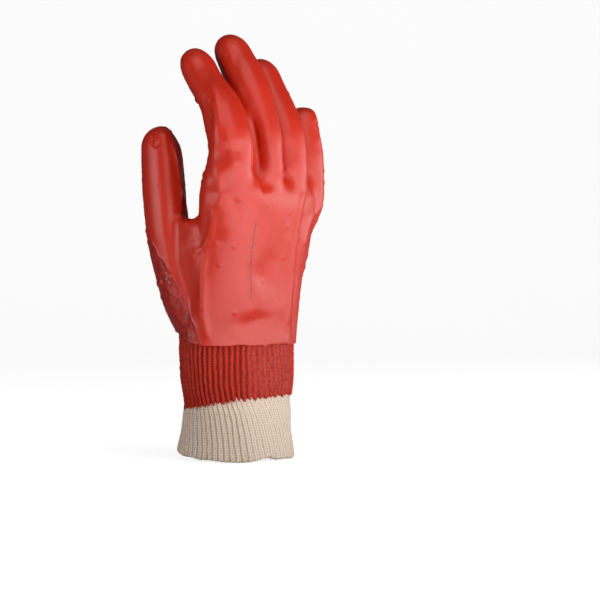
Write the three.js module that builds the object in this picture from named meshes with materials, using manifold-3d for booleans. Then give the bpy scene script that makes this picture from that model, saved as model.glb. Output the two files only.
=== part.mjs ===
// A right-hand work glove of cotton dipped in PVC, with a knitted wrist that is dipped in its upper part.
// Lengths are in millimetres. +Z runs from the wrist opening to the fingertips, -Y is the back of the hand,
// +Y the palm and -X the thumb's side. The origin is the centre of the wrist opening.
import * as THREE from "three";
import { mergeVertices } from "three/addons/utils/BufferGeometryUtils.js";
import Module from "manifold-3d";

// Lengths along the hand
const cuffLength = 38; // bare knit, from its edge to the dipped band
const bandLength = 35; // dipped ribs, up to the hem of the hand
const palmLength = 110; // hem to knuckle line
const indexLength = 76; // knuckle line to fingertip
const middleLength = 86;
const ringLength = 77;
const littleLength = 57;
const thumbLength = 124; // root of the thumb to its tip

// Widths, and depths measured from the back of the hand to the palm
const palmWidth = 110; // across the knuckles
const palmDepth = 56; // through the heel of the hand
const fingerWidth = 29;
const fingerDepth = 23.5;
const thumbWidth = 27;
const thumbDepth = 26;
const bandWidth = 92;
const bandDepth = 49;
const cuffWidth = 77; // across the wrist opening
const cuffDepth = 72;

// Walls, ribs and seams
const coatWall = 1.9; // PVC with its cotton liner
const hemWall = 1.2; // the same wall at the hem, where it thins out
const bandWall = 1.4; // dipped knit, between its ribs
const knitWall = 1.2; // bare knit, between its ribs
const bandRib = 0.9; // height of a dipped rib
const knitRib = 0.7; // height of a bare rib
const ribCount = 60;
const fit = 0.4; // clearance between two pieces that are sewn together
const hemLap = 5; // how far the band goes up inside the hand
const bandLap = 6; // how far the bare knit goes up inside the band
const hemDip = 11; // how much lower the hem hangs on the palm
const hemDipTurn = 40; // where it hangs lowest, in degrees from the little finger's side toward the palm
const hemDipSpread = 61; // half width of the lower stretch, in degrees
const hemDipTall = 0.16; // share of palmLength over which the rings above follow that dip
const hemTaper = { from: 0.06, to: 0.2 }; // shares of palmLength between which the wall thickens
const cuffArch = 6; // how much higher the cuff's edge is cut on the palm
const cuffArchPower = 1.5; // how late that rise comes on the way round to the palm

// Heights above the wrist opening
const hemHeight = cuffLength + bandLength;

// Points and rings of the meshes. The hollows of the fingers have fewer than their outsides.
const palmSides = 44;
const palmRings = 16;
const fingerSides = { outside: 16, hollow: 12 };
const fingerStep = { outside: 7.3, hollow: 10 }; // distance between the rings of a finger
const tipRings = { outside: 3, hollow: 2 };
const tipCut = 0.35; // where the last ring of a tip stops short of its pole, as a share of a ring's step
const fingerSquare = 2.3; // power of a finger's superellipse
const webSquare = 2.2;
const dentFade = 0.6; // share of the palm's half depth over which a dent fades out toward the sides
const weld = 1e-4; // points closer than this are one
const fullTurn = 360; // degrees

// Sections of the palm. rise is a share of palmLength; across and width are shares of palmWidth; lean, back
// and front are shares of palmDepth, back and front measured from the section's centre; twist is in degrees.
// square is the power of the superellipse: 2 is an ellipse, and more is boxier.
const palmSections = [
  { rise: 0.0, across: -0.018, lean: -0.07, width: 0.885, back: 0.43, front: 0.44, twist: 0, square: 2.2 },
  { rise: 0.12, across: -0.017, lean: -0.09, width: 0.885, back: 0.43, front: 0.45, twist: 2, square: 2.3 },
  { rise: 0.26, across: -0.014, lean: -0.14, width: 0.885, back: 0.42, front: 0.42, twist: 4, square: 2.4 },
  { rise: 0.4, across: -0.01, lean: -0.2, width: 0.9, back: 0.4, front: 0.4, twist: 6, square: 2.5 },
  { rise: 0.55, across: -0.008, lean: -0.28, width: 0.93, back: 0.38, front: 0.38, twist: 7, square: 2.6 },
  { rise: 0.7, across: -0.008, lean: -0.36, width: 0.97, back: 0.35, front: 0.35, twist: 9, square: 2.7 },
  { rise: 0.84, across: -0.006, lean: -0.43, width: 1.01, back: 0.33, front: 0.31, twist: 10, square: 2.7 },
  { rise: 0.92, across: -0.004, lean: -0.46, width: 1.01, back: 0.27, front: 0.26, twist: 11, square: 2.6 },
  { rise: 1.0, across: -0.004, lean: -0.48, width: 0.88, back: 0.08, front: 0.12, twist: 11, square: 2.5 },
];

// Fingers. across, lean and rise place the knuckle, as shares of palmWidth, palmDepth and palmLength.
// In bend, along and the offsets toward the palm and aside are shares of the finger's length,
// and width and depth are shares of fingerWidth and fingerDepth.
const fingers = {
  index: {
    length: indexLength,
    across: -0.4,
    lean: -0.62,
    rise: 1.0,
    bend: [
      { along: -0.45, forward: 0.2, aside: 0.12, width: 0.75, depth: 0.8 },
      { along: -0.1, forward: 0.02, aside: 0.01, width: 1.06, depth: 1.08 },
      { along: 0.18, forward: 0.01, aside: 0.01, width: 1.1, depth: 1.1 },
      { along: 0.34, forward: 0.04, aside: 0.015, width: 1.06, depth: 1.0 },
      { along: 0.5, forward: 0.11, aside: 0.02, width: 1.0, depth: 0.86 },
      { along: 0.62, forward: 0.215, aside: 0.03, width: 0.96, depth: 0.78 },
      { along: 0.75, forward: 0.33, aside: 0.04, width: 0.92, depth: 0.76 },
      { along: 0.88, forward: 0.4, aside: 0.045, width: 0.88, depth: 0.76 },
      { along: 0.99, forward: 0.415, aside: 0.05, width: 0.8, depth: 0.72 },
    ],
  },
  middle: {
    length: middleLength,
    across: -0.112,
    lean: -0.59,
    rise: 1.0,
    bend: [
      { along: -0.42, forward: 0.16, aside: 0.03, width: 0.8, depth: 0.8 },
      { along: -0.08, forward: 0.015, aside: 0.0, width: 1.04, depth: 1.12 },
      { along: 0.2, forward: 0.01, aside: 0.0, width: 1.02, depth: 1.06 },
      { along: 0.42, forward: 0.062, aside: 0.0, width: 1.01, depth: 1.03 },
      { along: 0.57, forward: 0.11, aside: 0.0, width: 1.0, depth: 1.0 },
      { along: 0.7, forward: 0.17, aside: 0.0, width: 0.97, depth: 0.91 },
      { along: 0.82, forward: 0.25, aside: -0.003, width: 0.93, depth: 0.86 },
      { along: 1.0, forward: 0.34, aside: -0.005, width: 0.84, depth: 0.8 },
    ],
  },
  ring: {
    length: ringLength,
    across: 0.173,
    lean: -0.475,
    rise: 0.98,
    bend: [
      { along: -0.44, forward: 0.08, aside: -0.03, width: 0.8, depth: 0.8 },
      { along: -0.08, forward: 0.01, aside: 0.0, width: 1.03, depth: 1.1 },
      { along: 0.15, forward: 0.003, aside: 0.0, width: 1.0, depth: 1.05 },
      { along: 0.3, forward: 0.018, aside: 0.0, width: 0.99, depth: 1.02 },
      { along: 0.44, forward: 0.06, aside: 0.0, width: 0.98, depth: 1.0 },
      { along: 0.56, forward: 0.12, aside: 0.0, width: 0.97, depth: 0.97 },
      { along: 0.7, forward: 0.195, aside: -0.003, width: 0.94, depth: 0.93 },
      { along: 0.84, forward: 0.26, aside: -0.006, width: 0.9, depth: 0.87 },
      { along: 1.0, forward: 0.29, aside: -0.008, width: 0.82, depth: 0.78 },
    ],
  },
  little: {
    length: littleLength,
    across: 0.43,
    lean: -0.33,
    rise: 0.89,
    bend: [
      { along: -0.6, forward: 0.08, aside: -0.2, width: 0.7, depth: 0.8 },
      { along: -0.1, forward: 0.0, aside: -0.02, width: 0.95, depth: 1.02 },
      { along: 0.22, forward: 0.0, aside: 0.01, width: 0.9, depth: 0.96 },
      { along: 0.5, forward: 0.02, aside: 0.02, width: 0.86, depth: 0.92 },
      { along: 0.75, forward: 0.07, aside: 0.03, width: 0.8, depth: 0.85 },
      { along: 1.0, forward: 0.11, aside: 0.035, width: 0.72, depth: 0.72 },
    ],
  },
};

// The thumb rises from a root inside the heel of the hand. Its widths and depths are shares too.
const thumb = {
  length: thumbLength,
  across: -0.318,
  lean: 0.014,
  rise: 0.1,
  bend: [
    { along: 0.0, forward: 0.0, aside: 0.0, width: 1.04, depth: 1.06 },
    { along: 0.15, forward: 0.03, aside: -0.043, width: 1.12, depth: 1.14 },
    { along: 0.345, forward: 0.074, aside: -0.075, width: 1.1, depth: 1.12 },
    { along: 0.51, forward: 0.098, aside: -0.102, width: 1.05, depth: 1.05 },
    { along: 0.77, forward: 0.123, aside: -0.118, width: 0.98, depth: 0.98 },
    { along: 0.91, forward: 0.127, aside: -0.1225, width: 0.93, depth: 0.92 },
    { along: 1.02, forward: 0.131, aside: -0.124, width: 0.85, depth: 0.84 },
  ],
};

// The web between the thumb and the hand. rise is a share of palmLength, across and thick of palmWidth,
// lean and reach of palmDepth; reach is half its length from the hand to the thumb.
const webSections = [
  { rise: 0.12, across: -0.3, lean: -0.05, reach: 0.2, thick: 0.14 },
  { rise: 0.28, across: -0.38, lean: -0.02, reach: 0.3, thick: 0.18 },
  { rise: 0.5, across: -0.42, lean: -0.04, reach: 0.33, thick: 0.17 },
  { rise: 0.62, across: -0.435, lean: -0.06, reach: 0.32, thick: 0.14 },
  { rise: 0.7, across: -0.44, lean: -0.07, reach: 0.3, thick: 0.11 },
  { rise: 0.745, across: -0.44, lean: -0.075, reach: 0.27, thick: 0.05 },
];

// Dents and swells of the empty glove, as smooth mounds. face is the side they are on, in degrees from the
// back toward the thumb, and across is counted along it. across and wide are shares of palmWidth, rise and
// tall of palmLength, and deep of palmDepth, outward if negative. turn slants the mound, in degrees.
const dents = [
  { face: 50, across: -0.05, rise: 1.06, wide: 0.1, tall: 0.055, turn: -38, deep: 0.06 },
  { face: 50, across: -0.06, rise: 0.92, wide: 0.08, tall: 0.045, turn: -47, deep: 0.05 },
  { face: 50, across: -0.19, rise: 0.34, wide: 0.045, tall: 0.3, turn: 3, deep: -0.035 },
  { face: 50, across: -0.265, rise: 0.38, wide: 0.055, tall: 0.22, turn: 8, deep: 0.05 },
  { face: 20, across: 0.1, rise: 0.42, wide: 0.16, tall: 0.16, turn: -30, deep: 0.035 },
  { face: 20, across: 0.03, rise: 0.1, wide: 0.14, tall: 0.06, turn: 0, deep: 0.02 },
  { face: 180, across: -0.02, rise: 0.62, wide: 0.2, tall: 0.3, turn: -12, deep: 0.11 },
  { face: 180, across: 0.2, rise: 0.3, wide: 0.06, tall: 0.26, turn: 12, deep: 0.05 },
  { face: 180, across: 0.0, rise: 0.17, wide: 0.28, tall: 0.055, turn: -6, deep: 0.03 },
];

// Sections of the dipped band and of the bare cuff, below where each laps inside the next piece. rise is a
// share of the piece's own length, across and width of its own width, and lean and depth of its own depth.
const bandSections = [
  { rise: 0.0, across: -0.012, lean: -0.08, width: 0.97, depth: 0.97, square: 2.1 },
  { rise: 0.3, across: -0.017, lean: -0.08, width: 1.0, depth: 1.0, square: 2.1 },
];
const cuffSections = [
  { rise: 0.0, across: 0.0, lean: 0.0, width: 1.0, depth: 1.0, square: 2.1 },
  { rise: 0.42, across: 0.0, lean: -0.01, width: 1.01, depth: 0.88, square: 2.1 },
  { rise: 0.8, across: -0.005, lean: -0.03, width: 1.05, depth: 0.76, square: 2.1 },
];

const wasm = await Module();
wasm.setup();

const radians = THREE.MathUtils.degToRad;
const smoothstep = THREE.MathUtils.smoothstep;

// A table's row at any value of one column, with the other columns smoothed between its rows.
function rowAt(table, column, value) {
  let low = 0;
  while (low < table.length - 2 && value > table[low + 1][column]) low += 1;
  const before = table[Math.max(low - 1, 0)];
  const from = table[low];
  const to = table[low + 1];
  const after = table[Math.min(low + 2, table.length - 1)];
  const span = to[column] - from[column];
  const t = THREE.MathUtils.clamp((value - from[column]) / span, 0, 1);
  const row = {};
  for (const key of Object.keys(from)) {
    const slopeFrom = ((to[key] - before[key]) / (to[column] - before[column])) * span;
    const slopeTo = ((after[key] - from[key]) / (after[column] - from[column])) * span;
    const bow = (1 - t) * slopeFrom * t * (1 - t) - t * slopeTo * t * (1 - t);
    row[key] = THREE.MathUtils.lerp(from[key], to[key], t * t * (3 - 2 * t)) + bow;
  }
  return row;
}

// A closed superellipse whose two half axes are given as vectors. Its points are counted from the first.
function section(centre, axisA, axisB, sides, power) {
  return Array.from({ length: sides }, (_, i) => {
    const angle = (i / sides) * 2 * Math.PI;
    const c = Math.cos(angle);
    const s = Math.sin(angle);
    return centre
      .clone()
      .addScaledVector(axisA, Math.sign(c) * Math.abs(c) ** (2 / power))
      .addScaledVector(axisB, Math.sign(s) * Math.abs(s) ** (2 / power));
  });
}

// A closed surface through rings of equal size, capped at both ends.
function loft(rings) {
  const sides = rings[0].length;
  const middle = (ring) => ring.reduce((sum, p) => sum.add(p), new THREE.Vector3()).divideScalar(sides);
  const points = [...rings.flat(), middle(rings[0]), middle(rings.at(-1))];
  const start = rings.length * sides;
  const last = start - sides;
  const index = [];
  for (let i = 0; i < sides; i++) {
    const j = (i + 1) % sides;
    for (let r = 0; r < last; r += sides) {
      index.push(r + i, r + j, r + j + sides);
      index.push(r + i, r + j + sides, r + i + sides);
    }
    index.push(start, j, i, start + 1, last + i, last + j);
  }
  const geometry = new THREE.BufferGeometry().setFromPoints(points);
  geometry.setIndex(index);
  return geometry;
}

// A ribbed wall: its outer rings have two points for each rib, and its inner rings one.
function wall(outer, inner) {
  const ribs = inner[0].length;
  const innerStart = outer.length * ribs * 2;
  const index = [];
  const out = (ring, i) => ring * ribs * 2 + (i % (ribs * 2));
  const into = (ring, i) => innerStart + ring * ribs + (i % ribs);
  for (let i = 0; i < ribs * 2; i++) {
    for (let r = 0; r + 1 < outer.length; r++) {
      index.push(out(r, i), out(r, i + 1), out(r + 1, i + 1));
      index.push(out(r, i), out(r + 1, i + 1), out(r + 1, i));
    }
  }
  for (let i = 0; i < ribs; i++) {
    for (let r = 0; r + 1 < inner.length; r++) {
      index.push(into(r, i), into(r + 1, i + 1), into(r, i + 1));
      index.push(into(r, i), into(r + 1, i), into(r + 1, i + 1));
    }
    const k = i * 2;
    const top = outer.length - 1;
    const lid = inner.length - 1;
    index.push(into(0, i), out(0, k + 1), out(0, k), into(0, i), out(0, k + 2), out(0, k + 1));
    index.push(into(0, i), into(0, i + 1), out(0, k + 2));
    index.push(into(lid, i), out(top, k), out(top, k + 1), into(lid, i), out(top, k + 1), out(top, k + 2));
    index.push(into(lid, i), out(top, k + 2), into(lid, i + 1));
  }
  const geometry = new THREE.BufferGeometry().setFromPoints([...outer.flat(), ...inner.flat()]);
  geometry.setIndex(index);
  geometry.computeVertexNormals();
  return geometry;
}

function toSolid(geometry) {
  const bare = new THREE.BufferGeometry();
  bare.setAttribute("position", geometry.getAttribute("position"));
  bare.setIndex(geometry.index);
  const merged = mergeVertices(bare, weld);
  return new wasm.Manifold(
    new wasm.Mesh({
      numProp: 3,
      vertProperties: merged.attributes.position.array,
      triVerts: new Uint32Array(merged.index.array),
    }),
  );
}

function toGeometry(solid) {
  const mesh = solid.getMesh();
  const geometry = new THREE.BufferGeometry();
  const position = new Float32Array(mesh.numVert * 3);
  for (let i = 0; i < mesh.numVert; i++) {
    position.set(mesh.vertProperties.subarray(i * mesh.numProp, i * mesh.numProp + 3), i * 3);
  }
  geometry.setAttribute("position", new THREE.BufferAttribute(position, 3));
  geometry.setIndex(new THREE.BufferAttribute(mesh.triVerts, 1));
  geometry.computeVertexNormals();
  return geometry;
}

// The palm's section at a height, in millimetres. Below the hem it goes straight down.
function palmAt(height) {
  const row = rowAt(palmSections, "rise", Math.max((height - hemHeight) / palmLength, 0));
  return {
    centre: new THREE.Vector3(
      row.across * palmWidth,
      (row.lean + (row.front - row.back) / 2) * palmDepth,
      height,
    ),
    halfWidth: (row.width * palmWidth) / 2,
    halfDepth: ((row.back + row.front) * palmDepth) / 2,
    twist: radians(row.twist),
    square: row.square,
  };
}

// The points of such a section, brought in all round by an inset.
function ringAt(spec, inset, sides) {
  const axisA = new THREE.Vector3(Math.cos(spec.twist), Math.sin(spec.twist), 0);
  const axisB = new THREE.Vector3(-Math.sin(spec.twist), Math.cos(spec.twist), 0);
  return section(
    spec.centre,
    axisA.multiplyScalar(spec.halfWidth - inset),
    axisB.multiplyScalar(spec.halfDepth - inset),
    sides,
    spec.square,
  );
}

// How far the hem hangs down at a share of the way round, which is counted from the little finger's side.
function hemDrop(share) {
  const angle = share * fullTurn - hemDipTurn;
  const off = Math.abs(angle - fullTurn * Math.round(angle / fullTurn));
  return hemDip * (1 - smoothstep(off, 0, hemDipSpread));
}

// A point of the hand, moved by the dents that lie over it.
function dented(point) {
  const palm = palmAt(Math.min(point.z, hemHeight + palmLength));
  const moved = point.clone();
  for (const dent of dents) {
    const face = radians(dent.face);
    const outward = new THREE.Vector3(-Math.sin(face), -Math.cos(face), 0);
    const right = point.x * Math.cos(face) - point.y * Math.sin(face) - dent.across * palmWidth;
    const up = point.z - hemHeight - dent.rise * palmLength;
    const turn = radians(dent.turn);
    const u = (right * Math.cos(turn) + up * Math.sin(turn)) / (dent.wide * palmWidth);
    const v = (up * Math.cos(turn) - right * Math.sin(turn)) / (dent.tall * palmLength);
    const facing = smoothstep(point.clone().sub(palm.centre).dot(outward), 0, palm.halfDepth * dentFade);
    moved.addScaledVector(outward, -dent.deep * palmDepth * Math.exp(-u * u - v * v) * facing);
  }
  return moved;
}

// The palm as one closed form, brought in by an inset that thins out at the hem.
function palmForm(inset) {
  const rings = Array.from({ length: palmRings }, (_, i) => {
    const share = i / (palmRings - 1);
    const spec = palmAt(hemHeight + share * palmLength);
    const grown = smoothstep(share, hemTaper.from, hemTaper.to);
    const ring = ringAt(spec, inset * THREE.MathUtils.lerp(hemWall / coatWall, 1, grown), palmSides);
    const low = 1 - smoothstep(share, 0, hemDipTall);
    const down = i === 0 ? inset : share * inset;
    for (const [k, point] of ring.entries()) point.z -= hemDrop(k / ring.length) * low + down;
    return ring;
  });
  return loft(rings.map((ring) => ring.map(dented)));
}

// A finger or the thumb as one closed form along its bent axis, brought in by an inset.
function fingerForm(finger, width, depth, inset, detail) {
  const knuckle = new THREE.Vector3(
    finger.across * palmWidth,
    finger.lean * palmDepth,
    hemHeight + finger.rise * palmLength,
  );
  const stations = finger.bend.map((row) =>
    new THREE.Vector3(row.aside, row.forward, row.along).multiplyScalar(finger.length).add(knuckle),
  );
  const axis = new THREE.CatmullRomCurve3(stations, false, "centripetal");
  const tipRadius = (finger.bend.at(-1).width * width) / 2 - inset;
  const tipStart = axis.getLength() - inset - tipRadius;
  const steps = Math.round(tipStart / fingerStep[detail]);
  const marks = Array.from({ length: steps }, (_, i) => ({ distance: (i / steps) * tipStart, round: 1 }));
  for (let i = 0; i <= tipRings[detail]; i++) {
    const angle = (i / (tipRings[detail] + tipCut)) * (Math.PI / 2);
    marks.push({ distance: tipStart + tipRadius * Math.sin(angle), round: Math.cos(angle) });
  }
  const rings = marks.map(({ distance, round }) => {
    const t = axis.getUtoTmapping(distance / axis.getLength());
    const at = t * (finger.bend.length - 1);
    const low = Math.min(Math.floor(at), finger.bend.length - 2);
    const [from, to] = [finger.bend[low], finger.bend[low + 1]];
    const size = (column) => THREE.MathUtils.lerp(from[column], to[column], at - low);
    const tangent = axis.getTangent(t);
    const across = new THREE.Vector3(1, 0, 0).addScaledVector(tangent, -tangent.x).normalize();
    const toPalm = new THREE.Vector3().crossVectors(tangent, across);
    return section(
      axis.getPoint(t),
      across.multiplyScalar(((size("width") * width) / 2 - inset) * round),
      toPalm.multiplyScalar(((size("depth") * depth) / 2 - inset) * round),
      fingerSides[detail],
      fingerSquare,
    ).map(dented);
  });
  return loft(rings);
}

// The web of the thumb, a flat form that stands between the hand and the thumb.
function webForm(inset, detail) {
  const rings = webSections.map((row) =>
    ringAt(
      {
        centre: new THREE.Vector3(
          row.across * palmWidth,
          row.lean * palmDepth,
          hemHeight + row.rise * palmLength - inset,
        ),
        halfWidth: (row.thick * palmWidth) / 2,
        halfDepth: row.reach * palmDepth,
        twist: 0,
        square: webSquare,
      },
      inset,
      fingerSides[detail],
    ).map(dented),
  );
  return loft(rings);
}

// The whole hand, brought in all round: 0 gives its outside, and the wall gives its hollow.
function handForm(inset, detail) {
  let form = toSolid(palmForm(inset));
  for (const finger of Object.values(fingers)) {
    form = form.add(toSolid(fingerForm(finger, fingerWidth, fingerDepth, inset, detail)));
  }
  form = form.add(toSolid(webForm(inset, detail)));
  return form.add(toSolid(fingerForm(thumb, thumbWidth, thumbDepth, inset, detail)));
}

function handShell() {
  return toGeometry(handForm(0, "outside").subtract(handForm(coatWall, "hollow")));
}

// A section of the band at a height. Where the hem can cover it, it follows the inside of the hand.
function bandAt(height) {
  const lapStart = hemHeight - hemDip;
  if (height >= lapStart) {
    const palm = palmAt(height);
    const inset = hemWall + fit;
    return { ...palm, halfWidth: palm.halfWidth - inset, halfDepth: palm.halfDepth - inset };
  }
  return knitAt(bandSections, (height - cuffLength) / bandLength, height, bandWidth, bandDepth);
}

function knitAt(table, rise, height, width, depth) {
  const row = rowAt(table, "rise", rise);
  return {
    centre: new THREE.Vector3(row.across * width, row.lean * depth, height),
    halfWidth: (row.width * width) / 2,
    halfDepth: (row.depth * depth) / 2,
    twist: 0,
    square: row.square,
  };
}

// Rings of ribs: every other point is a rib's crest, and the ones between lie in its grooves.
function ribbed(spec, rib) {
  const crests = ringAt(spec, 0, ribCount * 2);
  const grooves = ringAt(spec, rib, ribCount * 2);
  return crests.map((point, i) => (i % 2 === 0 ? point : grooves[i]));
}

// The inside of such a section, under its ribs.
function lining(spec, rib, thickness) {
  return ringAt(spec, rib + thickness, ribCount);
}

function wristBand() {
  const heights = [...bandSections.map((row) => cuffLength + row.rise * bandLength), hemHeight - hemDip];
  heights.push(hemHeight, hemHeight + hemLap);
  const outer = heights.map((height) => ribbed(bandAt(height), bandRib).map(dented));
  const inside = [cuffLength, cuffLength + bandLap, hemHeight - hemDip, hemHeight + hemLap];
  const inner = inside.map((height) => lining(bandAt(height), bandRib, bandWall).map(dented));
  return wall(outer, inner);
}

function knitCuff() {
  const open = cuffSections.map((row) =>
    knitAt(cuffSections, row.rise, row.rise * cuffLength, cuffWidth, cuffDepth),
  );
  const lapped = [cuffLength, cuffLength + bandLap].map((height) => {
    const band = bandAt(height);
    const inset = bandRib + bandWall + fit;
    return { ...band, halfWidth: band.halfWidth - inset, halfDepth: band.halfDepth - inset };
  });
  const specs = [...open, ...lapped];
  const outer = specs.map((spec) => ribbed(spec, knitRib));
  const inside = [specs[0], specs[1], specs.at(-2), specs.at(-1)];
  const inner = inside.map((spec) => lining(spec, knitRib, knitWall));
  for (const point of [...outer[0], ...inner[0]]) point.z += cuffRise(point);
  return wall(outer, inner);
}

// How much higher the cuff's edge is at a point: none on the back of the hand, and all of it on the palm.
function cuffRise(point) {
  return cuffArch * (0.5 + point.y / cuffDepth) ** cuffArchPower;
}

function part(name, geometry, color, roughness) {
  const mesh = new THREE.Mesh(geometry, new THREE.MeshStandardMaterial({ color, roughness, metalness: 0 }));
  mesh.name = name;
  return mesh;
}

const glove = new THREE.Group();
glove.add(part("hand_shell", handShell(), 0xc4200f, 0.35));
glove.add(part("wrist_band", wristBand(), 0xb3190c, 0.5));
glove.add(part("knit_cuff", knitCuff(), 0xd9c7a8, 0.95));
export default glove;
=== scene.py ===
"""A right-hand work glove: a cotton glove dipped in red PVC, with a ribbed knit wrist.

The coat is smooth on the back and rough on the palm, and it soaks the upper part of the wrist too. The
glove stands upright on its wrist opening.

Lengths are in millimetres up to the floor, which is in metres. +Z runs to the fingertips, -Y is the back
of the hand, +Y the palm and -X the thumb's side.
"""

import math

import bmesh
import bpy
import numpy as np
from mathutils import Matrix, Vector


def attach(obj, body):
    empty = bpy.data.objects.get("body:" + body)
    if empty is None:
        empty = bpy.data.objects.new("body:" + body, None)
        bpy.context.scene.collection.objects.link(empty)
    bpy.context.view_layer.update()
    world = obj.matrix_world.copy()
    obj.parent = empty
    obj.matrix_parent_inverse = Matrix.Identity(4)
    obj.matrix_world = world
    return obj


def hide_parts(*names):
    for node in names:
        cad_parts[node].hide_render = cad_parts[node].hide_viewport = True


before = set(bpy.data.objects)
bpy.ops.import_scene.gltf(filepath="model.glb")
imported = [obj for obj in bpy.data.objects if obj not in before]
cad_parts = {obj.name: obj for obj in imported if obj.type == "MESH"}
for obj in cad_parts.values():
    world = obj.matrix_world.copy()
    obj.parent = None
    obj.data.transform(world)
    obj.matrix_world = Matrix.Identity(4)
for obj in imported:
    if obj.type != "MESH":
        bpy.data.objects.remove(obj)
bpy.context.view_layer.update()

MM = 0.001
FULL_TURN = 2 * math.pi
FAR = 1000.0  # a distance that is longer than any on the glove

# Sizes of the knit parts
CUFF_LENGTH = 38.0
BAND_LENGTH = 35.0
HEM_HEIGHT = CUFF_LENGTH + BAND_LENGTH
RIB_COUNT = 60
COURSE = 1.5  # height of a row of stitches
BAND_LAP = 6.0  # how far the cuff reaches up inside the band
KNIT_WALL = 1.9

# The hem of the hand. It is higher at the thumb's edge of the wrist.
HEM_LAP = 4.0  # how far the band reaches up inside the hem
HEM_RISE = 8.0
HEM_RISE_ANGLE = math.radians(163)
HEM_RISE_SPREAD = math.radians(19)
HEM_WALL = 1.2
COAT_WALL = 1.9

# The view that the tables of folds are measured in: degrees from the back toward the thumb, degrees above
# level, how far the eye is, and how far it stands to the right of the glove's foot and above it
VIEW_AZIMUTH = 50.0
VIEW_ELEVATION = 0.5
VIEW_DISTANCE = 1071.8
VIEW_OFFSET = (41.48, 101.29)
LENS = 100.0
SENSOR = 36.0


# The view


def view_axes():
    """Unit vectors to the right, up and back toward the camera."""
    a = math.radians(VIEW_AZIMUTH)
    e = math.radians(VIEW_ELEVATION)
    back = np.array([-math.sin(a) * math.cos(e), -math.cos(a) * math.cos(e), math.sin(e)])
    right = np.array([math.cos(a), -math.sin(a), 0.0])
    return right, np.cross(back, right), back


RIGHT, UP, BACK = view_axes()
EYE = BACK * VIEW_DISTANCE + RIGHT * VIEW_OFFSET[0] + UP * VIEW_OFFSET[1]


def seen_from_eye(points):
    """How far sideways and up each point shows, in millimetres at the origin's distance."""
    offset = points - EYE
    scale = VIEW_DISTANCE / -(offset @ BACK)
    return (offset @ RIGHT) * scale + VIEW_OFFSET[0], (offset @ UP) * scale + VIEW_OFFSET[1]


# Noise


def hashed(cell, salt):
    """A repeatable number from 0 to 1 for each whole-numbered cell."""
    n = cell[..., 0] * 73856093 ^ cell[..., 1] * 19349663 ^ cell[..., 2] * 83492791 ^ salt * 26544357
    n = n & 0xFFFFFFFF
    n = ((n ^ (n >> 15)) * 2246822519) & 0xFFFFFFFF
    n = ((n ^ (n >> 13)) * 3266489917) & 0xFFFFFFFF
    n = n ^ (n >> 16)
    return (n & 0xFFFFFF) / 0xFFFFFF


def easing(t):
    """A share from 0 to 1 that starts and ends without a bend."""
    return t**3 * (t * (6 * t - 15) + 10)


def noise(points, size, salt):
    """Smooth noise from -1 to 1 with features of one size."""
    q = points / size
    cell = np.floor(q).astype(np.int64)
    f = q - cell
    w = easing(f)
    total = 0.0
    for corner in np.ndindex(2, 2, 2):
        c = np.array(corner)
        weight = np.prod(np.where(c, w, 1 - w), axis=-1)
        total = total + weight * hashed(cell + c, salt)
    return total * 2 - 1


LUMP_JITTER = 0.8
LUMP_SMALLEST = 0.28
LUMP_SPREAD = 0.4


def lumps(points, pitch, chance, salt):
    """Round lumps from 0 to 1, at a random place in some cells, with sizes as shares of the pitch."""
    cell = np.floor(points / pitch).astype(np.int64)
    best = np.zeros(len(points))
    for step in np.ndindex(3, 3, 3):
        near = cell + np.array(step) - 1
        place = np.stack([hashed(near, salt + k) for k in range(3)], axis=-1)
        centre = place * LUMP_JITTER + (1 - LUMP_JITTER) / 2 + near
        radius = LUMP_SMALLEST + LUMP_SPREAD * hashed(near, salt + 3)
        present = hashed(near, salt + 4) < chance
        d = np.linalg.norm(points / pitch - centre, axis=-1) / radius
        best = np.maximum(best, present * np.clip(1 - d * d, 0, 1))
    return best


def smoothstep(x, low, high):
    """0 below the low value, 1 above the high one, and a soft step between them."""
    t = np.clip((x - low) / (high - low), 0, 1)
    return t * t * (3 - 2 * t)


def bell(distance, width):
    """1 at no distance and close to 0 at two widths."""
    return np.exp(-((distance / width) ** 2))


# Meshes


def points_of(mesh):
    """The points of a mesh, in millimetres."""
    co = np.empty(len(mesh.vertices) * 3)
    mesh.vertices.foreach_get("co", co)
    return co.reshape(-1, 3) / MM


def normals_of(points, faces):
    """Unit vertex normals of a mesh of quads."""
    across = points[faces[:, 2]] - points[faces[:, 0]]
    along = points[faces[:, 3]] - points[faces[:, 1]]
    flat = np.cross(across, along)
    total = np.zeros_like(points)
    for corner in range(4):
        for axis in range(3):
            total[:, axis] += np.bincount(faces[:, corner], flat[:, axis], len(points))
    return total / np.linalg.norm(total, axis=1, keepdims=True)


def set_values(mesh, name, values):
    """Stores a number, or a vector, for each vertex under a name that the materials read."""
    kind, field = ("FLOAT", "value") if values.ndim == 1 else ("FLOAT_VECTOR", "vector")
    attribute = mesh.attributes.new(name, kind, "POINT")
    attribute.data.foreach_set(field, values.astype(np.float32).ravel())


def make_object(name, points, faces, values=None):
    """A smooth object from points in millimetres, with the values that its material reads."""
    mesh = bpy.data.meshes.new(name)
    mesh.from_pydata((points * MM).tolist(), [], faces)
    mesh.update()
    mesh.shade_smooth()
    for key, value in (values or {}).items():
        set_values(mesh, key, value)
    obj = bpy.data.objects.new(name, mesh)
    bpy.context.scene.collection.objects.link(obj)
    return obj


def modified(mesh, *modifiers):
    """A mesh after some modifiers, each given as its kind and settings."""
    obj = bpy.data.objects.new("work", mesh)
    bpy.context.scene.collection.objects.link(obj)
    for kind, settings in modifiers:
        modifier = obj.modifiers.new(kind.lower(), kind)
        for key, value in settings.items():
            setattr(modifier, key, value)
    graph = bpy.context.evaluated_depsgraph_get()
    result = bpy.data.meshes.new_from_object(obj.evaluated_get(graph))
    bpy.data.objects.remove(obj)
    return result


# The hand's skin


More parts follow.
